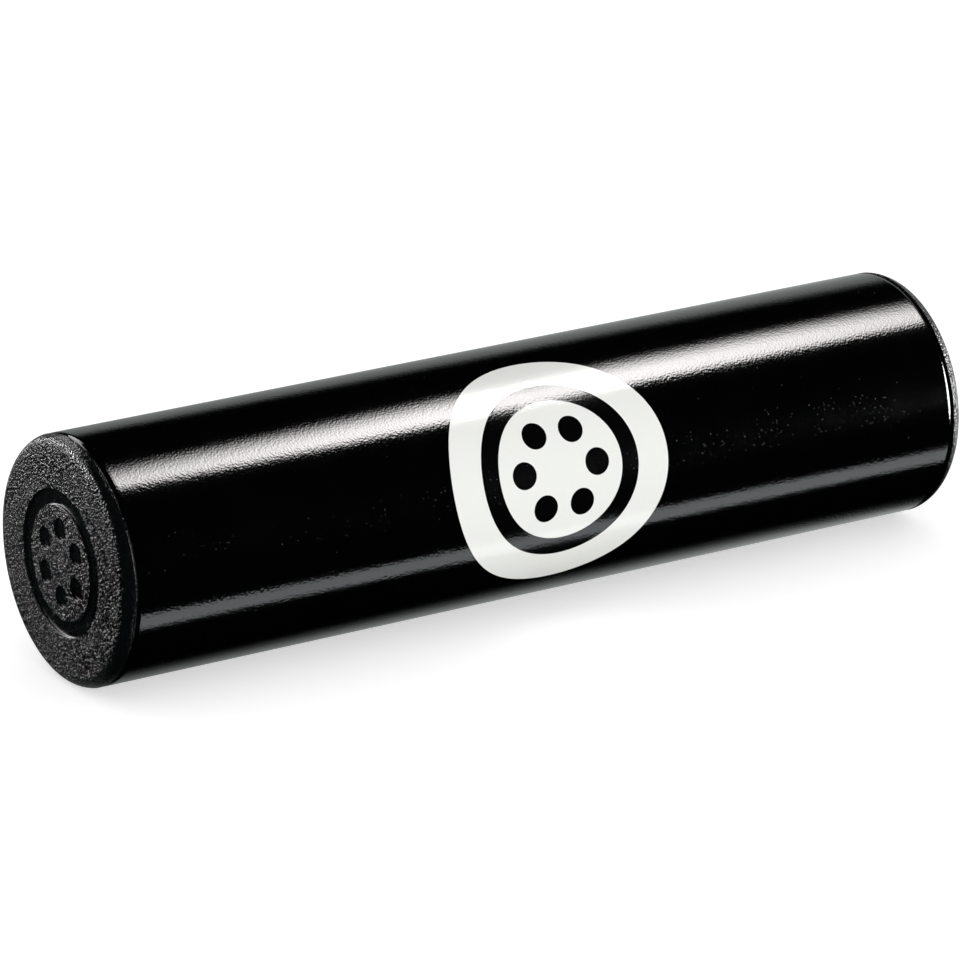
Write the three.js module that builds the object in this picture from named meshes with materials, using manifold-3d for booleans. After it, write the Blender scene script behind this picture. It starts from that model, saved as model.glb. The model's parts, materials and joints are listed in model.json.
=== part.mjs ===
// A tube shaker: a lacquered metal tube, a moulded cap pressed into each end, and loose steel shot
// that slides along the inside. Millimetres, +Z up. The tube lies along X on a flat surface, and the
// origin is on that surface under the tube's middle.
import * as THREE from 'three';
import { mergeVertices } from 'three/addons/utils/BufferGeometryUtils.js';
import Module from 'manifold-3d';

// The whole
const OVERALL_LENGTH = 177.3;
const OUTER_DIAMETER = 45;
const SEAT_CLEARANCE = 0.3; // left between parts that touch on the real object

// Tube
const TUBE_WALL = 1.5;
const TUBE_END_ROUND = 1.0; // rounding of the outer edge at each end
const TUBE_BORE_CHAMFER = 0.3; // deburred inner edge at each end

// End cap: a round rim as wide as the tube that stops against its end, and a hollow spigot in the bore
const RIM_THICKNESS = 2.3;
const RIM_ROUND_ALONG = 2.1; // the rim's outer edge is a quarter ellipse: its size along the axis
const RIM_ROUND_ACROSS = 2.2; // and its size across the face
const RIM_BACK_CHAMFER = 0.15;
const CAP_FLOOR = 2.0; // thickness of the cap's flat face
const SPIGOT_LENGTH = 8; // how far the spigot reaches into the tube
const SPIGOT_WALL = 1.5;
const SPIGOT_LEAD_ALONG = 1.2; // taper that guides the spigot in: its length
const SPIGOT_LEAD_ACROSS = 0.5; // and its depth
const CUP_CORNER = 0.8; // rounding inside the spigot, where it meets the floor

// Sunk ornament in the middle of each cap's face: a ring with dots inside it
const ORNAMENT_DEPTH = 0.5;
const ORNAMENT_RING_RADIUS = 11.8; // to the middle of its stroke
const ORNAMENT_RING_WIDTH = 2.8;
const ORNAMENT_DOT_COUNT = 6;
const ORNAMENT_DOT_DIAMETER = 4.0;
const ORNAMENT_DOT_RADIUS = 6.2; // of the circle that the dots lie on
const ORNAMENT_OVERCUT = 1; // how far outside the face its cutters begin

// Shot: balls in straight lanes side by side on the bottom of the bore
const SHOT_DIAMETER = 4.5;
const SHOT_LANES = 5;
const SHOT_PER_LANE = 11;

// Fineness of the round forms, in sides
const ROUND_SIDES = 72;
const ORNAMENT_SIDES = 36;
const DOT_SIDES = 16;
const CORNER_STEPS = 3;
const BALL_DETAIL = 1; // each face of an icosahedron is split in four
const WELD_DISTANCE = 1e-5;

// Sizes that follow from the ones above
const outerRadius = OUTER_DIAMETER / 2;
const boreRadius = outerRadius - TUBE_WALL;
const halfLength = OVERALL_LENGTH / 2;
const halfSide = Math.PI / ROUND_SIDES;
const tubeLength = OVERALL_LENGTH - 2 * (RIM_THICKNESS + SEAT_CLEARANCE);
const spigotRadius = boreRadius - SEAT_CLEARANCE;
const spigotEnd = RIM_THICKNESS + SEAT_CLEARANCE + SPIGOT_LENGTH; // from a cap's face
const cupRadius = spigotRadius - SPIGOT_WALL;
const shotRadius = SHOT_DIAMETER / 2;
const shotPitch = SHOT_DIAMETER + SEAT_CLEARANCE;
const laneRadius = boreRadius - SEAT_CLEARANCE - shotRadius; // from the tube's axis
const laneAngle = 2 * Math.asin(shotPitch / 2 / laneRadius);
const laneStart = -halfLength + spigotEnd + SEAT_CLEARANCE + shotRadius; // middle of its first ball
const axisHeight = outerRadius * Math.cos(halfSide); // the tube rests on one of its flat sides

const lacquer = new THREE.MeshStandardMaterial({ color: 0x060708, roughness: 0.16, metalness: 0.0 });
const capPlastic = new THREE.MeshStandardMaterial({ color: 0x15171a, roughness: 0.62, metalness: 0.0 });
const shotSteel = new THREE.MeshStandardMaterial({ color: 0xb9bcc0, roughness: 0.25, metalness: 1.0 });

const wasm = await Module();
wasm.setup();

// Points of a quarter ellipse about (x, y), from one angle to another
function quarter(x, y, across, along, fromAngle, toAngle) {
  const points = [];
  for (let i = 0; i <= CORNER_STEPS; i++) {
    const angle = fromAngle + (toAngle - fromAngle) * (i / CORNER_STEPS);
    points.push([x + across * Math.cos(angle), y + along * Math.sin(angle)]);
  }
  return points;
}

// A round body about Y from its outline, whose points are [distance from the axis, height]
function turned(outline, sides) {
  const points = outline.map(([radius, height]) => new THREE.Vector2(radius, height));
  const firstCorner = Math.PI / sides; // half a side, so that a flat side faces down
  return welded(new THREE.LatheGeometry(points, sides, firstCorner));
}

// The same body with only its positions, and each corner shared by the faces that meet there
function welded(geometry) {
  geometry.deleteAttribute('normal');
  geometry.deleteAttribute('uv');
  const merged = mergeVertices(geometry, WELD_DISTANCE);
  merged.computeVertexNormals();
  return merged;
}

// To and from the solids that can be cut
function toSolid(geometry) {
  const mesh = new wasm.Mesh({
    numProp: 3,
    vertProperties: new Float32Array(geometry.attributes.position.array),
    triVerts: new Uint32Array(geometry.index.array),
  });
  return new wasm.Manifold(mesh);
}

function toGeometry(solid) {
  const mesh = solid.getMesh();
  const geometry = new THREE.BufferGeometry();
  geometry.setAttribute('position', new THREE.BufferAttribute(mesh.vertProperties, 3));
  geometry.setIndex(new THREE.BufferAttribute(mesh.triVerts, 1));
  geometry.computeVertexNormals();
  return geometry;
}

// The tube along Y, with its middle on the origin
function tubeGeometry() {
  const half = tubeLength / 2;
  const round = Math.min(TUBE_END_ROUND, TUBE_WALL - TUBE_BORE_CHAMFER);
  const outer = outerRadius - round;
  const outline = [
    [boreRadius + TUBE_BORE_CHAMFER, -half],
    ...quarter(outer, round - half, round, round, -Math.PI / 2, 0),
    ...quarter(outer, half - round, round, round, 0, Math.PI / 2),
    [boreRadius + TUBE_BORE_CHAMFER, half],
    [boreRadius, half - TUBE_BORE_CHAMFER],
    [boreRadius, TUBE_BORE_CHAMFER - half],
    [boreRadius + TUBE_BORE_CHAMFER, -half],
  ];
  return turned(outline, ROUND_SIDES);
}

// The cap with its face on y = 0 and its spigot towards +Y, before the ornament is sunk in
function plainCapGeometry() {
  const roundAlong = Math.min(RIM_ROUND_ALONG, RIM_THICKNESS - RIM_BACK_CHAMFER);
  const corner = Math.min(CUP_CORNER, SPIGOT_LENGTH / 2);
  const outline = [
    [0, 0],
    ...quarter(outerRadius - RIM_ROUND_ACROSS, roundAlong, RIM_ROUND_ACROSS, roundAlong, -Math.PI / 2, 0),
    [outerRadius, RIM_THICKNESS - RIM_BACK_CHAMFER],
    [outerRadius - RIM_BACK_CHAMFER, RIM_THICKNESS],
    [spigotRadius, RIM_THICKNESS],
    [spigotRadius, spigotEnd - SPIGOT_LEAD_ALONG],
    [spigotRadius - SPIGOT_LEAD_ACROSS, spigotEnd],
    [cupRadius, spigotEnd],
    ...quarter(cupRadius - corner, CAP_FLOOR + corner, corner, corner, 0, -Math.PI / 2),
    [0, CAP_FLOOR],
  ];
  return turned(outline, ROUND_SIDES);
}

// The cutters that sink the ring and the dots into the cap's face
function ornamentCutters() {
  const start = -ORNAMENT_OVERCUT;
  const inner = ORNAMENT_RING_RADIUS - ORNAMENT_RING_WIDTH / 2;
  const outer = ORNAMENT_RING_RADIUS + ORNAMENT_RING_WIDTH / 2;
  const ring = turned([
    [inner, start],
    [outer, start],
    [outer, ORNAMENT_DEPTH],
    [inner, ORNAMENT_DEPTH],
    [inner, start],
  ], ORNAMENT_SIDES);
  const cutters = [toSolid(ring)];
  const dotRadius = ORNAMENT_DOT_DIAMETER / 2;
  const dotHeight = ORNAMENT_DEPTH - start;
  for (let i = 0; i < ORNAMENT_DOT_COUNT; i++) {
    const angle = (2 * Math.PI * i) / ORNAMENT_DOT_COUNT;
    const dot = new THREE.CylinderGeometry(dotRadius, dotRadius, dotHeight, DOT_SIDES);
    const x = ORNAMENT_DOT_RADIUS * Math.sin(angle);
    const z = ORNAMENT_DOT_RADIUS * Math.cos(angle);
    dot.translate(x, start + dotHeight / 2, z);
    cutters.push(toSolid(welded(dot)));
  }
  return cutters;
}

function capGeometry() {
  let solid = toSolid(plainCapGeometry());
  for (const cutter of ornamentCutters()) {
    solid = solid.subtract(cutter);
  }
  return toGeometry(solid);
}

// A mesh of the assembly, under its own name
function named(name, geometry, material) {
  const mesh = new THREE.Mesh(geometry, material);
  mesh.name = name;
  return mesh;
}

// One lane of balls along X, as a group that is turned about the tube's axis to its place
function shotLane(lane, ball) {
  const group = new THREE.Group();
  for (let i = 0; i < SHOT_PER_LANE; i++) {
    const number = String(i + 1).padStart(2, '0');
    const mesh = named(`shot_${lane + 1}_${number}`, ball, shotSteel);
    mesh.position.set(laneStart + i * shotPitch, 0, -laneRadius);
    group.add(mesh);
  }
  group.rotation.x = laneAngle * (lane - (SHOT_LANES - 1) / 2);
  return group;
}

const shaker = new THREE.Group();
const onAxis = new THREE.Group();
onAxis.position.z = axisHeight;
shaker.add(onAxis);

const tube = named('tube_body', tubeGeometry(), lacquer);
tube.rotation.z = -Math.PI / 2;
onAxis.add(tube);

const cap = capGeometry();
const frontCap = named('end_cap_front', cap, capPlastic);
frontCap.position.x = -halfLength;
frontCap.rotation.z = -Math.PI / 2;
onAxis.add(frontCap);

const rearCap = named('end_cap_rear', cap, capPlastic);
rearCap.position.x = halfLength;
rearCap.rotation.z = Math.PI / 2;
onAxis.add(rearCap);

const ball = welded(new THREE.IcosahedronGeometry(shotRadius, BALL_DETAIL));
for (let lane = 0; lane < SHOT_LANES; lane++) {
  onAxis.add(shotLane(lane, ball));
}

export default shaker;
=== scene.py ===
"""A tube shaker: gloss black lacquered metal tube, two grained plastic caps, loose steel shot inside.

The tube lies along X on a pale floor. Lengths are in metres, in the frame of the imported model.
"""
import json
import math

import bmesh
import bpy
from mathutils import Matrix, Vector


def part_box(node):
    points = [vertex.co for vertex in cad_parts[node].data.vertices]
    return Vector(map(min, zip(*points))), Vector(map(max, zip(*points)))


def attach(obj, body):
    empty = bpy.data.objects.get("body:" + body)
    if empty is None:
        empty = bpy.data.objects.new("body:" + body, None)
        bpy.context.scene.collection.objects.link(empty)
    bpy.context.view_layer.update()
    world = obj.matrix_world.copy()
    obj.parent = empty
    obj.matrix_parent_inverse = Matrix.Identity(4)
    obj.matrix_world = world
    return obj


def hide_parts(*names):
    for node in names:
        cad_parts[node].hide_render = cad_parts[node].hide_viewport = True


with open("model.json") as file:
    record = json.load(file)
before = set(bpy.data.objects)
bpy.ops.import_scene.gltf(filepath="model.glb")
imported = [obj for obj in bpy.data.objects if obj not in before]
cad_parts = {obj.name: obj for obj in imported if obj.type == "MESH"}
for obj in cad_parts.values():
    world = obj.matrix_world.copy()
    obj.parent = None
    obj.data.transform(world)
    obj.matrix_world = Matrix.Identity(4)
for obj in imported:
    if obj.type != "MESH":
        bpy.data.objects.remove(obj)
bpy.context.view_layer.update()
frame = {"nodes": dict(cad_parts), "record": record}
MM = 0.001

# Sizes taken from the frame
tube_low, tube_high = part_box("tube_body")
front_low, front_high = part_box("end_cap_front")
rear_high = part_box("end_cap_rear")[1]
AXIS_Z = (tube_low.z + tube_high.z) / 2


def axis_distances(node):
    """How far each corner of a CAD node lies from the tube's axis."""
    corners = frame["nodes"][node].data.vertices
    return [math.hypot(v.co.y, v.co.z - AXIS_Z) for v in corners]


TUBE_RADIUS = max(axis_distances("tube_body"))
BORE_RADIUS = min(axis_distances("tube_body"))
CAP_DEPTH = front_high.x - front_low.x

# Sizes of the finer forms. Most are as in the solids; the tube's ends and the rims are a little nearer
# to the photograph's.
TUBE_END_ROUND = 1.1 * MM
TUBE_BORE_CHAMFER = 0.3 * MM
RIM_THICKNESS = 2.3 * MM
RIM_ROUND_ACROSS = 2.2 * MM
RIM_EDGE_ANGLE = 18.0  # degrees from radial where the rim's rounding stops, so that its edge stays dark
RIM_BACK_ROUND = 0.05 * MM
RIM_FACE_BAND = 0.6 * MM  # flat ring of the face inside the rounding, with faces of its own
CAP_FLOOR = 2.0 * MM
SEAT_CLEARANCE = 0.3 * MM  # between the solids
SEAM_GAP = 0.1 * MM  # between the tube's end and the rim, as drawn here
SPIGOT_WALL = 1.5 * MM
SPIGOT_ROOT_BAND = 0.2 * MM  # narrow ring of the rim's back beside the spigot
SPIGOT_LEAD_ALONG = 1.2 * MM
SPIGOT_LEAD_ACROSS = 0.5 * MM
CUP_CORNER = 0.8 * MM
ORNAMENT_DEPTH = 0.5 * MM
ORNAMENT_EDGE = 0.12 * MM  # rounding of its edges
RING_RADIUS = 11.8 * MM
RING_WIDTH = 2.8 * MM
DOT_COUNT = 6
DOT_RADIUS = 2.0 * MM
DOT_CIRCLE = 6.2 * MM

# The printed emblem, measured on the tube's unrolled surface
PRINT_X = 0.84 * MM
PRINT_TURN = math.radians(17.96)  # up from the front
PRINT_RADIUS = 22.6 * MM
PRINT_SCALE = 1.235  # its ring and dots are the caps' ornament, this much larger
WHITE_INK_HEIGHT = 0.02 * MM
BLACK_INK_HEIGHT = 0.035 * MM
INK_ROOT = 0.04 * MM  # how far the films reach into the lacquer

# Fineness of the round forms, in sides or steps
ROUND_SIDES = 288
DOT_SIDES = 48
CORNER_STEPS = 8
ORNAMENT_STEPS = 4
RIM_STEPS = 16
RIM_BACK_STEPS = 5
CUP_STEPS = 6
TUBE_RINGS = 24
TUBE_END_SHARE = 0.008  # of the length, from each end to the first of those rings
BALL_DETAIL = 3
INK_STEP = 0.8 * MM  # between the rings of a film, at most
DISC_SIDES = 192
INK_RING_SIDES = 144
INK_DOT_SIDES = 64
FACE_AREA_WEIGHT = 100  # 50 is neutral, and more lets the wide faces set the shading

# The camera, from the photograph's outline
CAMERA_AZIMUTH = math.radians(-32.56)
CAMERA_ELEVATION = math.radians(19.10)
CAMERA_DISTANCE = 1.2202
CAMERA_RIGHT = -2.115 * MM
CAMERA_UP = -1.215 * MM
CAMERA_LENS_MM = 254.66
SENSOR_MM = 36.0


# Node materials

def start_material(name):
    """A new material, its node tree and its shader."""
    material = bpy.data.materials.new(name)
    material.use_nodes = True
    tree = material.node_tree
    return material, tree, tree.nodes["Principled BSDF"]


def add_node(tree, kind, settings=None, **inputs):
    """A node of that kind. Inputs are constants, or sockets to link from."""
    node = tree.nodes.new(kind)
    for key, value in (settings or {}).items():
        setattr(node, key, value)
    for key, value in inputs.items():
        socket = node.inputs[int(key[1:])] if key[0] == "i" and key[1:].isdigit() else node.inputs[key]
        if isinstance(value, bpy.types.NodeSocket):
            tree.links.new(value, socket)
        else:
            socket.default_value = value
    return node


def object_coordinates(tree):
    return tree.nodes.new("ShaderNodeTexCoord").outputs["Object"]


def noise(tree, feature, detail=2.0, roughness=0.5, stretch=None):
    """Noise whose features are about that many metres across."""
    source = object_coordinates(tree)
    if stretch:
        mapping = add_node(tree, "ShaderNodeMapping", Vector=source, Scale=stretch)
        source = mapping.outputs[0]
    settings = {"Scale": 1 / feature, "Detail": detail, "Roughness": roughness}
    return add_node(tree, "ShaderNodeTexNoise", Vector=source, **settings).outputs["Fac"]


def cells(tree, feature):
    """Cells about that many metres across: the distance to a cell's middle, and two random numbers."""
    node = add_node(tree, "ShaderNodeTexVoronoi", Vector=object_coordinates(tree), Scale=1 / feature)
    numbers = add_node(tree, "ShaderNodeSeparateXYZ", Vector=node.outputs["Color"])
    return node.outputs["Distance"], numbers.outputs[0], numbers.outputs[1]


def math_node(tree, operation, a, b=0.0):
    """The result of that operation on a and b, each a number or a socket."""
    return add_node(tree, "ShaderNodeMath", {"operation": operation}, i0=a, i1=b).outputs[0]


def remap(tree, value, low, high, new_low, new_high, kind="LINEAR"):
    """The value moved from one range to another, and held at its ends."""
    names = {"From Min": low, "From Max": high, "To Min": new_low, "To Max": new_high}
    settings = {"interpolation_type": kind}
    return add_node(tree, "ShaderNodeMapRange", settings, Value=value, **names).outputs[0]


def soft_remap(tree, value, low, high, new_low, new_high):
    """The same, with a soft start and end."""
    return remap(tree, value, low, high, new_low, new_high, "SMOOTHSTEP")


def bump(tree, height, distance, strength=1.0, before=None):
    """A surface raised by the height, up to that distance, on top of the bump before it."""
    node = add_node(tree, "ShaderNodeBump", Height=height, Distance=distance, Strength=strength)
    if before is not None:
        tree.links.new(before, node.inputs["Normal"])
    return node.outputs[0]


def mix_colour(tree, factor, a, b):
    """Colour a where the factor is 0 and b where it is 1. Each is three numbers, or a socket."""
    node = tree.nodes.new("ShaderNodeMix")
    node.data_type = "RGBA"
    tree.links.new(factor, node.inputs[0])
    for socket, value in ((node.inputs[6], a), (node.inputs[7], b)):
        if isinstance(value, bpy.types.NodeSocket):
            tree.links.new(value, socket)
        else:
            socket.default_value = (*value, 1)
    return node.outputs[2]


# Dust on the lacquer, with painted glints: one speck at most in each cell, drawn thickest in a streak
# along the tube and towards its rear end, where specks glint in the light from the right
DUST_CELL = 0.45 * MM
DUST_SMALLEST, DUST_LARGEST = 0.07, 0.19  # radius of a speck, in cells
GLINT_STREAK_HEIGHT = 5.8 * MM  # of the streak, above the tube's axis
GLINT_STREAK_FULL, GLINT_STREAK_END = 1.2 * MM, 4.2 * MM  # either side of its middle
DUST_OFF_GLINT_STREAK = 0.03
DUST_CLUSTER = 9 * MM
DUST_CLUSTER_EDGE = (0.40, 0.62)  # levels of the noise where a cluster starts and is full
DUST_SPARSE, DUST_DENSE = 0.06, 0.62  # share of the cells between clusters, and in them
DUST_AND_GLINT_FRONT_X, DUST_AND_GLINT_REAR_X = -60 * MM, 40 * MM
DUST_AND_GLINT_FRONT_SHARE = 0.4  # of the rear end's specks, dust and painted glints, at the front end

NOISE_RANGE = (0.3, 0.7)  # most of a noise's levels lie between these
MOTTLE = 14 * MM
HAZE = 6 * MM
HAZE_SPREAD = 0.15  # of the roughness, either way

# Feature size and depth of each ripple
PEEL_COARSE = (1.3 * MM, 0.005 * MM)
PEEL_FINE = (0.38 * MM, 0.017 * MM)
SWIRL = (1.6 * MM, 0.05 * MM)
DIE_LINES = (0.25 * MM, 0.01 * MM)
SCUFFS = (0.5 * MM, 0.012 * MM)
DUST_RISE = 0.02 * MM

# The grain of the caps
GRAIN_COARSE = 0.38 * MM
GRAIN_FINE = 0.25 * MM
GRAIN_FINE_SHARE = 0.6
GRAIN_DEPTH = 0.38 * MM
GRAIN_FADE = (20.8 * MM, 22.0 * MM)  # from the axis, where the rim's own strength takes over


def dust_and_glint_specks(tree):
    """1 on small specks of dust, drawn thickest in a streak along the tube's front and towards its
    rear, where they stand for glints (painted glints), and 0 elsewhere.
    """
    distance, first, second = cells(tree, DUST_CELL)
    place = add_node(tree, "ShaderNodeSeparateXYZ", Vector=object_coordinates(tree))
    # The streak and the rise towards the rear are where the specks glint: painted glints.
    off_streak = math_node(tree, "SUBTRACT", place.outputs[2], AXIS_Z + GLINT_STREAK_HEIGHT)
    aside = math_node(tree, "ABSOLUTE", off_streak)
    streak = soft_remap(tree, aside, GLINT_STREAK_FULL, GLINT_STREAK_END, 1.0, DUST_OFF_GLINT_STREAK)
    clusters = remap(tree, noise(tree, DUST_CLUSTER), *DUST_CLUSTER_EDGE, DUST_SPARSE, DUST_DENSE)
    glints_towards_rear = remap(tree, place.outputs[0], DUST_AND_GLINT_FRONT_X, DUST_AND_GLINT_REAR_X, DUST_AND_GLINT_FRONT_SHARE, 1.0)
    share = math_node(tree, "MULTIPLY", math_node(tree, "MULTIPLY", streak, clusters), glints_towards_rear)
    chosen = math_node(tree, "LESS_THAN", first, share)
    size = remap(tree, second, 0.0, 1.0, DUST_SMALLEST, DUST_LARGEST)
    inside = math_node(tree, "LESS_THAN", distance, size)
    return math_node(tree, "MULTIPLY", chosen, inside)


def orange_peel(tree, specks):
    """The fine ripple of sprayed lacquer, and specks of dust that stand up in it."""
    feature, depth = PEEL_COARSE
    coarse = bump(tree, noise(tree, feature, detail=1.0), depth)
    feature, depth = PEEL_FINE
    fine = bump(tree, noise(tree, feature, detail=0.0), depth, before=coarse)
    return bump(tree, specks, DUST_RISE, before=fine)


def gloss_lacquer(name, dark, light, roughness, dust):
    """Sprayed gloss lacquer between two near colours, with specks of a third: dust, and on the black
    lacquer also painted glints.
    """
    material, tree, shader = start_material(name)
    mottle = mix_colour(tree, noise(tree, MOTTLE, detail=4.0), dark, light)
    specks = dust_and_glint_specks(tree)
    tree.links.new(mix_colour(tree, specks, mottle, dust), shader.inputs["Base Color"])
    haze = noise(tree, HAZE, detail=5.0)
    low, high = roughness * (1 - HAZE_SPREAD), roughness * (1 + HAZE_SPREAD)
    tree.links.new(remap(tree, haze, *NOISE_RANGE, low, high), shader.inputs["Roughness"])
    tree.links.new(orange_peel(tree, specks), shader.inputs["Normal"])
    return material


def axis_distance(tree):
    """How far a point of the surface lies from the tube's axis."""
    place = add_node(tree, "ShaderNodeSeparateXYZ", Vector=object_coordinates(tree))
    up = math_node(tree, "SUBTRACT", place.outputs[2], AXIS_Z)
    squares = [math_node(tree, "MULTIPLY", side, side) for side in (place.outputs[1], up)]
    return math_node(tree, "SQRT", math_node(tree, "ADD", *squares))


def grained_plastic(name, rim_strength):
    """Moulded plastic with a spark-eroded grain, which has that strength at the rim's edge."""
    material, tree, shader = start_material(name)
    strength = remap(tree, axis_distance(tree), *GRAIN_FADE, 1.0, rim_strength)
    coarse = noise(tree, GRAIN_COARSE, detail=0.0)
    fine = noise(tree, GRAIN_FINE, detail=0.0)
    height = math_node(tree, "ADD", coarse, math_node(tree, "MULTIPLY", fine, GRAIN_FINE_SHARE))
    tree.links.new(bump(tree, height, GRAIN_DEPTH, strength), shader.inputs["Normal"])
    tone = mix_colour(tree, coarse, (0.0010, 0.0012, 0.0015), (0.0030, 0.0035, 0.0040))
    tree.links.new(tone, shader.inputs["Base Color"])
    tree.links.new(remap(tree, fine, *NOISE_RANGE, 0.11, 0.19), shader.inputs["Roughness"])
    return material


def smooth_plastic():
    """The same plastic where the mould was polished."""
    material, tree, shader = start_material("smooth_plastic")
    feature, depth = SWIRL
    swirl = noise(tree, feature, detail=4.0)
    tree.links.new(bump(tree, swirl, depth), shader.inputs["Normal"])
    tone = mix_colour(tree, swirl, (0.0018, 0.0022, 0.0027), (0.0040, 0.0046, 0.0054))
    tree.links.new(tone, shader.inputs["Base Color"])
    tree.links.new(remap(tree, swirl, *NOISE_RANGE, 0.19, 0.28), shader.inputs["Roughness"])
    return material


def raw_aluminium():
    """The bare drawn bore of the tube, with die lines along it."""
    material, tree, shader = start_material("raw_aluminium")
    shader.inputs["Metallic"].default_value = 1.0
    feature, depth = DIE_LINES
    lines = noise(tree, feature, detail=3.0, stretch=(0.02, 1.0, 1.0))
    tone = mix_colour(tree, lines, (0.50, 0.51, 0.52), (0.72, 0.73, 0.74))
    tree.links.new(tone, shader.inputs["Base Color"])
    tree.links.new(remap(tree, lines, *NOISE_RANGE, 0.30, 0.48), shader.inputs["Roughness"])
    tree.links.new(bump(tree, lines, depth), shader.inputs["Normal"])
    return material


def shot_steel():
    """Tumbled steel balls with faint scuffs."""
    material, tree, shader = start_material("shot_steel")
    shader.inputs["Metallic"].default_value = 1.0
    feature, depth = SCUFFS
    scuffs = noise(tree, feature, detail=6.0, roughness=0.7)
    tone = mix_colour(tree, scuffs, (0.42, 0.43, 0.44), (0.62, 0.63, 0.64))
    tree.links.new(tone, shader.inputs["Base Color"])
    tree.links.new(remap(tree, scuffs, *NOISE_RANGE, 0.14, 0.32), shader.inputs["Roughness"])
    tree.links.new(bump(tree, scuffs, depth), shader.inputs["Normal"])
    return material


# Mesh forms

def quarter(centre, across, along, from_deg, to_deg, steps=CORNER_STEPS):
    """Points [distance from the axis, distance along it] of a quarter ellipse."""
    points = []
    for i in range(steps + 1):
        angle = math.radians(from_deg + (to_deg - from_deg) * i / steps)
        points.append((centre[0] + across * math.cos(angle), centre[1] + along * math.sin(angle)))
    return points


def put(distance, along, turn):
    """A point at that distance from the tube's axis. A turn of 0 faces front, and 90 degrees up."""
    return Vector((along, -distance * math.cos(turn), AXIS_Z + distance * math.sin(turn)))


def ring_of(bm, distance, along):
    """The corners of a ring about the tube's axis."""
    turns = [2 * math.pi * i / ROUND_SIDES for i in range(ROUND_SIDES)]
    return [bm.verts.new(put(distance, along, turn)) for turn in turns]


def bridge(bm, a, b, slot):
    """Faces between two rings with as many corners, in that material slot."""
    for i in range(len(a)):
        k = (i + 1) % len(a)
        face = bm.faces.new((a[i], a[k], b[k], b[i]))
        face.material_index = slot


def to_object(name, bm, materials):
    """The finished object, with its faces smooth and pointing out."""
    bmesh.ops.recalc_face_normals(bm, faces=bm.faces)
    for face in bm.faces:
        face.smooth = True
    mesh = bpy.data.meshes.new(name)
    bm.to_mesh(mesh)
    bm.free()
    for material in materials:
        mesh.materials.append(material)
    piece = bpy.data.objects.new(name, mesh)
    bpy.context.scene.collection.objects.link(piece)
    return piece


def weight_normals(piece):
    """Keeps wide flat faces flat in the shading beside their small roundings."""
    modifier = piece.modifiers.new("flat_faces", "WEIGHTED_NORMAL")
    modifier.mode = "FACE_AREA"
    modifier.weight = FACE_AREA_WEIGHT
    modifier.keep_sharp = True


def tube_piece(lacquer, bare):
    """The tube, with rounded outer ends that nearly touch the rims, and a chamfered bore."""
    closer = SEAT_CLEARANCE - SEAM_GAP
    low, high = tube_low.x - closer, tube_high.x + closer
    round_centre = TUBE_RADIUS - TUBE_END_ROUND
    outline = [(BORE_RADIUS + TUBE_BORE_CHAMFER, low)]
    outline += quarter((round_centre, low + TUBE_END_ROUND), TUBE_END_ROUND, TUBE_END_ROUND, -90, 0)
    for i in range(TUBE_RINGS + 1):
        share = TUBE_END_SHARE + (1 - 2 * TUBE_END_SHARE) * i / TUBE_RINGS
        outline.append((TUBE_RADIUS, low + (high - low) * share))
    outline += quarter((round_centre, high - TUBE_END_ROUND), TUBE_END_ROUND, TUBE_END_ROUND, 0, 90)
    lacquered = len(outline)
    outline += [
        (BORE_RADIUS + TUBE_BORE_CHAMFER, high),
        (BORE_RADIUS, high - TUBE_BORE_CHAMFER),
        (BORE_RADIUS, high - 2 * TUBE_BORE_CHAMFER),
        (BORE_RADIUS, low + 2 * TUBE_BORE_CHAMFER),
        (BORE_RADIUS, low + TUBE_BORE_CHAMFER),
    ]
    bm = bmesh.new()
    rings = [ring_of(bm, distance, along) for distance, along in outline]
    for i in range(len(rings)):
        bridge(bm, rings[i], rings[(i + 1) % len(rings)], 0 if i < lacquered else 1)
    piece = to_object("tube_body_lacquered", bm, [lacquer, bare])
    weight_normals(piece)
    return piece


def sunk_ring_outline():
    """The face's outline across the sunk ring, from its inner edge to its outer edge."""
    inner = RING_RADIUS - RING_WIDTH / 2
    outer = RING_RADIUS + RING_WIDTH / 2
    edge, depth, steps = ORNAMENT_EDGE, ORNAMENT_DEPTH, ORNAMENT_STEPS
    return (
        quarter((inner - edge, edge), edge, edge, -90, 0, steps)
        + quarter((inner + edge, depth - edge), edge, edge, 180, 90, steps)
        + quarter((outer - edge, depth - edge), edge, edge, 90, 0, steps)
        + quarter((outer + edge, edge), edge, edge, 180, 270, steps)
    )


def dot_turns():
    """Where the dots lie round their circle."""
    return [2 * math.pi * (i + 0.5) / DOT_COUNT for i in range(DOT_COUNT)]


def sunk_dot(bm, centre_turn, to_x):
    """One sunk dot: its floor and wall, and its open edge, which is returned."""
    edge, depth, steps = ORNAMENT_EDGE, ORNAMENT_DEPTH, ORNAMENT_STEPS
    profile = (
        quarter((DOT_RADIUS + edge, edge), edge, edge, 270, 180, steps)
        + quarter((DOT_RADIUS - edge, depth - edge), edge, edge, 0, 90, steps)
    )
    centre = put(DOT_CIRCLE, 0.0, centre_turn)
    rings = []
    for distance, height in profile:
        ring = []
        for i in range(DOT_SIDES):
            angle = 2 * math.pi * i / DOT_SIDES
            offset = Vector((to_x(height), distance * math.cos(angle), distance * math.sin(angle)))
            ring.append(bm.verts.new(Vector((0.0, centre.y, centre.z)) + offset))
        rings.append(ring)
    for a, b in zip(rings, rings[1:]):
        bridge(bm, a, b, 1)
    floor = bm.faces.new(rings[-1])
    floor.material_index = 1
    return rings[0]


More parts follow.
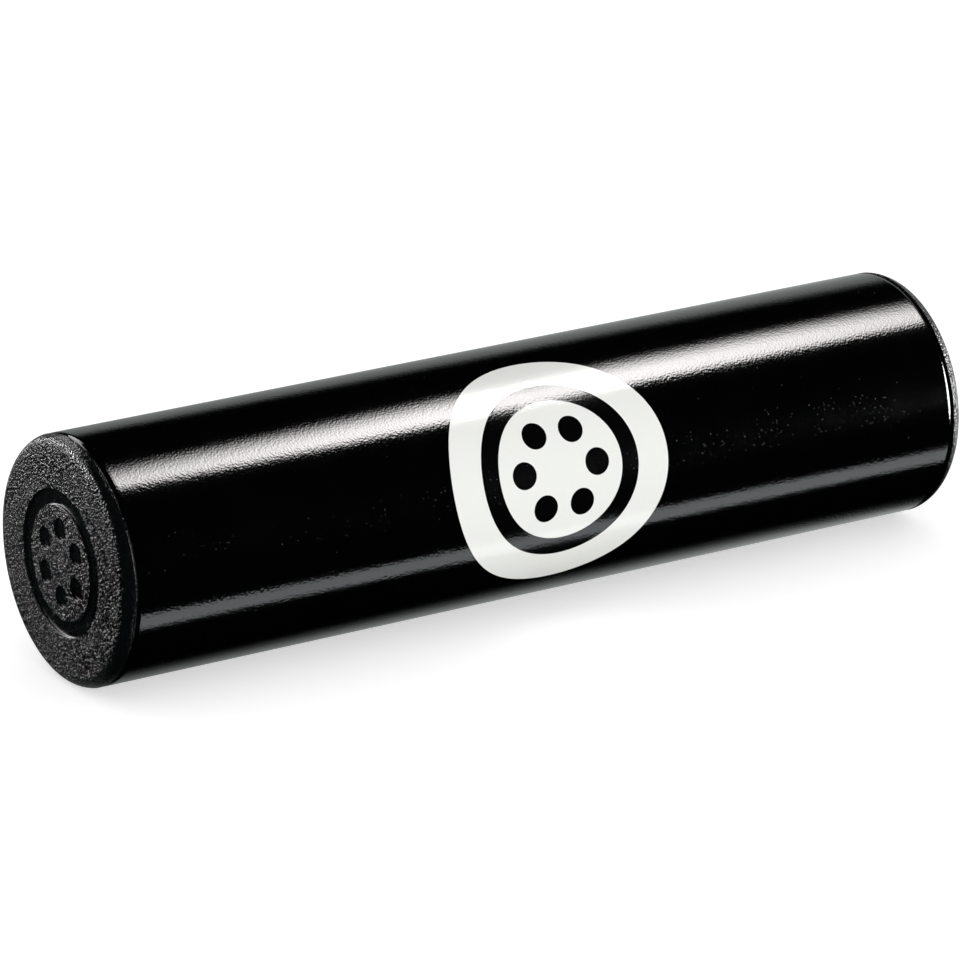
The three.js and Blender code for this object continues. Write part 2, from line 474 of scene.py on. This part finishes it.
def cap_piece(name, face_x, inward, grain, smooth):
    """A cap whose face lies at face_x. inward is +1 where its spigot points along +X, or -1."""
    def to_x(height):
        return face_x + inward * height

    spigot_radius = BORE_RADIUS - SEAT_CLEARANCE
    cup_radius = spigot_radius - SPIGOT_WALL
    cup_centre = (cup_radius - CUP_CORNER, CAP_FLOOR + CUP_CORNER)
    round_start = TUBE_RADIUS - RIM_ROUND_ACROSS

    # The large rounding stops where the small one of the rim's back goes on in the same direction
    back = RIM_BACK_ROUND
    back_centre = (TUBE_RADIUS - back, RIM_THICKNESS - back)
    stop = math.radians(RIM_EDGE_ANGLE)
    stop_along = RIM_THICKNESS - back - back * math.sin(stop)
    stop_across = RIM_ROUND_ACROSS - back + back * math.cos(stop)
    across = stop_across / math.cos(stop)
    along = stop_along / (1 - math.sin(stop))

    face_part = sunk_ring_outline()
    rim_part = [(round_start - RIM_FACE_BAND, 0.0)]
    rim_part += quarter((round_start, along), across, along, -90, -RIM_EDGE_ANGLE, RIM_STEPS)
    rim_part += quarter(back_centre, back, back, -RIM_EDGE_ANGLE, 90, RIM_BACK_STEPS)[1:]
    inner_part = [
        (spigot_radius + SPIGOT_ROOT_BAND, RIM_THICKNESS),
        (spigot_radius, RIM_THICKNESS),
        (spigot_radius, CAP_DEPTH - SPIGOT_LEAD_ALONG),
        (spigot_radius - SPIGOT_LEAD_ACROSS, CAP_DEPTH),
        (cup_radius, CAP_DEPTH),
    ]
    inner_part += quarter(cup_centre, CUP_CORNER, CUP_CORNER, 0, -90, CUP_STEPS)

    bm = bmesh.new()
    outline = face_part + rim_part + inner_part
    rings = [ring_of(bm, distance, to_x(height)) for distance, height in outline]
    sunk = len(face_part) - 1
    grained = len(face_part) + len(rim_part)
    for i, (a, b) in enumerate(zip(rings, rings[1:])):
        bridge(bm, a, b, 0 if sunk <= i < grained else 1)
    cup_floor = bm.faces.new(rings[-1])
    cup_floor.material_index = 1

    # The face inside the sunk ring, round the dots
    dots = [sunk_dot(bm, turn, to_x) for turn in dot_turns()]
    borders = dots + [rings[0]]
    edges = [bm.edges.get((ring[i - 1], ring[i])) for ring in borders for i in range(len(ring))]
    filled = bmesh.ops.triangle_fill(bm, use_beauty=True, edges=edges)
    for item in filled["geom"]:
        if isinstance(item, bmesh.types.BMFace):
            item.material_index = 0
    piece = to_object(name, bm, [grain, smooth])
    weight_normals(piece)
    return piece


def ink_point(along, across, height):
    """A point of the print: along X and across round the tube, from the print's middle."""
    return put(TUBE_RADIUS + height, PRINT_X + along, PRINT_TURN + across / TUBE_RADIUS)


def ink_film(name, centre, radii, height, material, sides):
    """A closed film of ink between the first and the last of radii, or a disc if the first is 0."""
    bm = bmesh.new()

    def ring(radius, level):
        points = []
        for i in range(sides):
            angle = 2 * math.pi * i / sides
            along = centre[0] + radius * math.cos(angle)
            across = centre[1] + radius * math.sin(angle)
            points.append(bm.verts.new(ink_point(along, across, level)))
        return points

    def closed_middle(first, level):
        middle = bm.verts.new(ink_point(centre[0], centre[1], level))
        for i in range(sides):
            bm.faces.new((middle, first[i], first[(i + 1) % sides]))

    disc = radii[0] == 0
    kept = radii[1:] if disc else radii  # a disc's middle is one corner, not a ring
    top = [ring(radius, height) for radius in kept]
    bottom = [ring(radius, -INK_ROOT) for radius in kept]
    for layer in (top, bottom):
        for a, b in zip(layer, layer[1:]):
            bridge(bm, a, b, 0)
    bridge(bm, top[-1], bottom[-1], 0)
    if disc:
        closed_middle(top[0], height)
        closed_middle(bottom[0], -INK_ROOT)
    else:
        bridge(bm, top[0], bottom[0], 0)
    for rim in top[-1:] if disc else (top[0], top[-1]):  # kept sharp, so that the ink looks flat
        for i in range(sides):
            bm.edges.get((rim[i - 1], rim[i])).smooth = False
    piece = to_object(name, bm, [material])
    weight_normals(piece)
    return piece


def ink_radii(low, high):
    """Radii from one to the other, at most one step of the ink apart."""
    count = max(1, math.ceil((high - low) / INK_STEP))
    return [low + (high - low) * i / count for i in range(count + 1)]


def emblem_pieces(white, black):
    """A white disc with a black ring and dots, printed on the tube's front."""
    middle = (0, 0)
    disc = ink_radii(0, PRINT_RADIUS)
    inner = (RING_RADIUS - RING_WIDTH / 2) * PRINT_SCALE
    outer = (RING_RADIUS + RING_WIDTH / 2) * PRINT_SCALE
    ring = ink_radii(inner, outer)
    dot = ink_radii(0, DOT_RADIUS * PRINT_SCALE)
    circle = DOT_CIRCLE * PRINT_SCALE
    pieces = [
        ink_film("emblem_disc", middle, disc, WHITE_INK_HEIGHT, white, DISC_SIDES),
        ink_film("emblem_ring", middle, ring, BLACK_INK_HEIGHT, black, INK_RING_SIDES),
    ]
    for i, turn in enumerate(dot_turns()):
        centre = (circle * math.sin(turn), circle * math.cos(turn))
        name = f"emblem_dot_{i + 1}"
        pieces.append(ink_film(name, centre, dot, BLACK_INK_HEIGHT, black, INK_DOT_SIDES))
    return pieces


def shot_lane(name, nodes, material):
    """The balls of one lane as smooth spheres where the CAD balls are."""
    bm = bmesh.new()
    for node in nodes:
        low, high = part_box(node)
        radius = (high.x - low.x) / 2
        ball = bmesh.ops.create_icosphere(bm, subdivisions=BALL_DETAIL, radius=radius)
        bmesh.ops.translate(bm, verts=ball["verts"], vec=(low + high) / 2)
    return to_object(name, bm, [material])


# The object

# Pale specks on the black lacquer: dust, and painted glints.
PALE_DUST_AND_GLINT = (0.18, 0.18, 0.18)
DUST_ON_WHITE = (0.84, 0.84, 0.82)
FRONT_RIM_GRAIN = 0.30  # strength of the grain at the rim's edge
REAR_RIM_GRAIN = 0.60

lacquer = gloss_lacquer(
    "black_lacquer", (0.0003, 0.0004, 0.0004), (0.0006, 0.0007, 0.0007), 0.085, PALE_DUST_AND_GLINT)
white_ink = gloss_lacquer(
    "white_ink", (0.87, 0.88, 0.845), (0.89, 0.90, 0.865), 0.14, DUST_ON_WHITE)
black_ink = gloss_lacquer(
    "black_ink", (0.0006, 0.0007, 0.0008), (0.0012, 0.0013, 0.0014), 0.12, PALE_DUST_AND_GLINT)
smooth = smooth_plastic()

tube = tube_piece(lacquer, raw_aluminium())
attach(tube, "shell")
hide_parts("tube_body")

for cap_name, node, face_x, inward, rim_strength in (
    ("end_cap_front_moulding", "end_cap_front", front_low.x, 1, FRONT_RIM_GRAIN),
    ("end_cap_rear_moulding", "end_cap_rear", rear_high.x, -1, REAR_RIM_GRAIN),
):
    grain = grained_plastic(node + "_grain", rim_strength)
    cap = cap_piece(cap_name, face_x, inward, grain, smooth)
    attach(cap, "shell")
    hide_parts(node)

for piece in emblem_pieces(white_ink, black_ink):
    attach(piece, "shell")

steel = shot_steel()
for body, nodes in frame["record"]["behaviour"]["bodies"].items():
    if body == "shell":
        continue
    lane = shot_lane(body + "_balls", nodes, steel)
    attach(lane, body)
    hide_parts(*nodes)


# The setting

FLOOR_HALF = 6.0
FLOOR_HEIGHT = -0.02 * MM  # the smooth tube reaches this much lower than its solid's flat side
FLOOR_TONE = 0.88
FLOOR_LIFT = 0.55  # what the camera sees on top of it

# Plain light from all round, brighter at the horizon than overhead
AMBIENT_LOW = 0.95
AMBIENT_TOP = 0.56

# The wall in reflections. Each pair is where it starts and ends, by direction.
WALL_GLOW = 0.54
WALL_TINT = (0.94, 1.0, 0.975)
WALL_BACK = (0.1, 0.35)
WALL_TOP = (0.29, 0.43)
WALL_TOP_LEAN, WALL_TOP_MIDDLE = 1.2, 0.52
WALL_FOOT = (-0.83, -0.68)
WALL_FOOT_STEP = (0.548, 0.60)
WALL_FOOT_RISE = 0.30
WALL_LEFT = (-0.3, 0.2)
WALL_RIGHT = (0.45, 0.57)
WALL_RIGHT_GLOW = 1.04
WALL_SIDE_LOW, WALL_SIDE_HIGH = 0.42, 0.72  # of the part left of WALL_RIGHT, low down and high up
WALL_SIDE = (-0.5, 0.1)  # where it goes from one to the other

# The overhead softbox: where its middle is, and how its face is shaded from there
KEY_X = 0.71
KEY_HEIGHT = 1.2
KEY_LEFT = -0.35
KEY_SKEW = 0.33
KEY_FRONT_BEND = (-0.05, -0.15, 0.02)  # where the bend from KEY_LEFT ends, and its shift at both
KEY_REAR_BEND = (0.1, -0.2275, 0.065)
KEY_FRONT = (-0.32, -0.18)
KEY_REAR = (-0.08, 0.40)
KEY_ASIDE = 0.30
KEY_ASIDE_GLOW = 0.45

LAMP_REACH = 1.2  # from the object to the lamps in front and at the side
TUBE_END = 0.0887  # from the tube's middle to its end


def make_floor():
    """A pale floor that keeps a soft shadow, a little brighter to the camera."""
    mesh = bpy.data.meshes.new("floor")
    side, level = FLOOR_HALF, FLOOR_HEIGHT
    corners = [(-side, -side, level), (side, -side, level), (side, side, level), (-side, side, level)]
    mesh.from_pydata(corners, [], [(0, 1, 2, 3)])
    material, tree, shader = start_material("pale_floor")
    shader.inputs["Base Color"].default_value = (FLOOR_TONE, FLOOR_TONE, FLOOR_TONE, 1)
    shader.inputs["Roughness"].default_value = 1.0
    shader.inputs["Specular IOR Level"].default_value = 0.0
    seen = tree.nodes.new("ShaderNodeLightPath").outputs["Is Camera Ray"]
    lift = math_node(tree, "MULTIPLY", seen, FLOOR_LIFT)
    tree.links.new(lift, shader.inputs["Emission Strength"])
    shader.inputs["Emission Color"].default_value = (1, 1, 1, 1)
    mesh.materials.append(material)
    floor = bpy.data.objects.new("floor", mesh)
    floor.visible_glossy = False
    bpy.context.scene.collection.objects.link(floor)


def make_world():
    """White to the camera, plain soft light, and in reflections a pale wall behind the object."""
    world = bpy.data.worlds.new("studio")
    bpy.context.scene.world = world
    world.use_nodes = True
    tree = world.node_tree
    background = tree.nodes["Background"]
    direction = tree.nodes.new("ShaderNodeTexCoord").outputs["Generated"]
    parts = add_node(tree, "ShaderNodeSeparateXYZ", Vector=direction)
    x, y, z = parts.outputs[0], parts.outputs[1], parts.outputs[2]
    lean = math_node(tree, "MULTIPLY", math_node(tree, "SUBTRACT", x, WALL_TOP_MIDDLE), WALL_TOP_LEAN)
    height = math_node(tree, "SUBTRACT", z, lean)
    depth = math_node(tree, "SUBTRACT", z, remap(tree, x, *WALL_FOOT_STEP, 0.0, WALL_FOOT_RISE))
    dim_side = remap(tree, z, *WALL_SIDE, WALL_SIDE_LOW, WALL_SIDE_HIGH)
    wall = remap(tree, y, *WALL_BACK, 0.0, WALL_GLOW)
    for window in (
        remap(tree, height, *WALL_TOP, 1.0, 0.0),
        remap(tree, depth, *WALL_FOOT, 0.0, 1.0),
        remap(tree, x, *WALL_LEFT, 0.0, 1.0),
        remap(tree, x, *WALL_RIGHT, dim_side, WALL_RIGHT_GLOW),
    ):
        wall = math_node(tree, "MULTIPLY", wall, window)
    path = tree.nodes.new("ShaderNodeLightPath")
    seen, glossy, through = (
        path.outputs[f"Is {kind} Ray"] for kind in ("Camera", "Glossy", "Transmission"))
    mirrored = math_node(tree, "MAXIMUM", glossy, through)
    ambient = remap(tree, z, 0.0, 1.0, AMBIENT_LOW, AMBIENT_TOP)
    other = add_node(tree, "ShaderNodeMix", Factor=mirrored, A=ambient, B=wall)
    final = add_node(tree, "ShaderNodeMix", Factor=seen, A=other.outputs[0], B=1.0)
    tree.links.new(final.outputs[0], background.inputs["Strength"])
    tree.links.new(mix_colour(tree, mirrored, (1, 1, 1), WALL_TINT), background.inputs["Color"])


def area_light(name, place, facing, along, size, radiance,
               glossy=True, diffuse=False, colour=(1, 1, 1), shape="RECTANGLE"):
    """A flat lamp. Its first size runs along the given direction. A white card has radiance 1."""
    data = bpy.data.lights.new(name, "AREA")
    data.shape = shape
    data.size, data.size_y = size
    data.energy = radiance * math.pi * size[0] * size[1]
    data.color = colour
    lamp = bpy.data.objects.new(name, data)
    back = -Vector(facing).normalized()
    first = Vector(along)
    first = (first - back * first.dot(back)).normalized()
    axes = Matrix((first, back.cross(first), back)).transposed()
    lamp.matrix_world = Matrix.Translation(place) @ axes.to_4x4()
    lamp.visible_camera = False
    lamp.visible_glossy = glossy
    lamp.visible_diffuse = diffuse
    bpy.context.scene.collection.objects.link(lamp)
    return data


def from_object(direction, distance, along=0.0):
    """A place in that direction from a point along the tube's axis, and the direction back."""
    unit = Vector(direction).normalized()
    return Vector((along, 0, AXIS_Z)) + unit * distance, -unit


def shade_key(data):
    """Gives the overhead softbox its hot middle, its sharp front edge and its gradual back edge."""
    data.use_nodes = True
    tree = data.node_tree
    position = tree.nodes.new("ShaderNodeNewGeometry").outputs["Position"]
    place = add_node(tree, "ShaderNodeSeparateXYZ", Vector=position)
    x, y = place.outputs[0], place.outputs[1]
    off = math_node(tree, "SUBTRACT", x, KEY_X)
    corner = remap(tree, off, KEY_LEFT, *KEY_FRONT_BEND)
    ahead = math_node(tree, "SUBTRACT", corner, math_node(tree, "MULTIPLY", off, KEY_SKEW))
    front = math_node(tree, "ADD", y, ahead)
    rear = math_node(tree, "SUBTRACT", y, remap(tree, off, KEY_LEFT, *KEY_REAR_BEND))
    aside = math_node(tree, "ABSOLUTE", off)
    glow = remap(tree, front, *KEY_FRONT, 0.0, 1.0)
    for window in (
        soft_remap(tree, rear, *KEY_REAR, 1.0, 0.0),
        soft_remap(tree, aside, 0.0, KEY_ASIDE, 1.0, KEY_ASIDE_GLOW),
    ):
        glow = math_node(tree, "MULTIPLY", glow, window)
    tree.links.new(glow, tree.nodes["Emission"].inputs["Strength"])


def make_lights():
    """The lamps, whose sizes are across and up. Most show only as highlights."""
    across = (1, 0, 0)

    # The wide highlight along the top of the tube
    place = (0.725, 0.06, AXIS_Z + KEY_HEIGHT)
    warm = (1.0, 0.975, 0.965)
    key = area_light("key_softbox", place, (0, 0, -1), across, (1.15, 1.12), 21.5, colour=warm)
    shade_key(key)

    # The narrow bluish one low on its front
    below = math.radians(-49.9)
    place = (0.72, -LAMP_REACH * math.cos(below), AXIS_Z + LAMP_REACH * math.sin(below))
    facing = (0, math.cos(below), -math.sin(below))
    slant = (0.37, 0.086, -0.068)
    cool = (0.93, 0.99, 1.0)
    area_light("low_front_strip", place, facing, slant, (1.4, 0.27), 2.1, colour=cool)

    # The crescent on the tube's far end and the rim beside it
    place, facing = from_object((0.89, -0.455, 0.02), LAMP_REACH, TUBE_END)
    area_light("right_softbox", place, facing, (0.455, 0.89, 0), (1.02, 0.68), 22.0, shape="ELLIPSE")

    # The grain of the near cap's face, lit from behind
    place, facing = from_object((-0.5, 0.83, 0.26), 0.25, -TUBE_END)
    area_light("cap_softbox", place, facing, (0.83, 0.5, 0), (0.24, 0.05), 19.0)

    # A highlight along the back, for other sides
    place = (-0.55, 0.92, AXIS_Z + 0.70)
    area_light("rear_top_softbox", place, (0, -0.80, -0.60), across, (1.4, 0.34), 4.5)

    # Plain light on the ink, with no highlight
    place, facing = from_object((-0.1, -1.0, 0.10), 1.5)
    area_light("soft_front_light", place, facing, across, (1.6, 0.28), 6.3, glossy=False, diffuse=True)


def make_camera():
    """The camera of the photograph, moved a little aside from the line to the object's middle."""
    az, el = CAMERA_AZIMUTH, CAMERA_ELEVATION
    back = Vector((math.sin(az) * math.cos(el), -math.cos(az) * math.cos(el), math.sin(el)))
    right = (-back).cross(Vector((0, 0, 1))).normalized()
    up = right.cross(-back)
    data = bpy.data.cameras.new("camera")
    data.sensor_width = SENSOR_MM
    data.lens = CAMERA_LENS_MM
    data.clip_start, data.clip_end = 0.01, 50
    camera = bpy.data.objects.new("camera", data)
    middle = Vector((0, 0, AXIS_Z))
    camera.location = middle + back * CAMERA_DISTANCE + right * CAMERA_RIGHT + up * CAMERA_UP
    camera.rotation_euler = (-back).to_track_quat("-Z", "Y").to_euler()
    bpy.context.scene.collection.objects.link(camera)
    bpy.context.scene.camera = camera


make_floor()
make_world()
make_lights()
make_camera()
bpy.context.scene.view_settings.view_transform = "Standard"
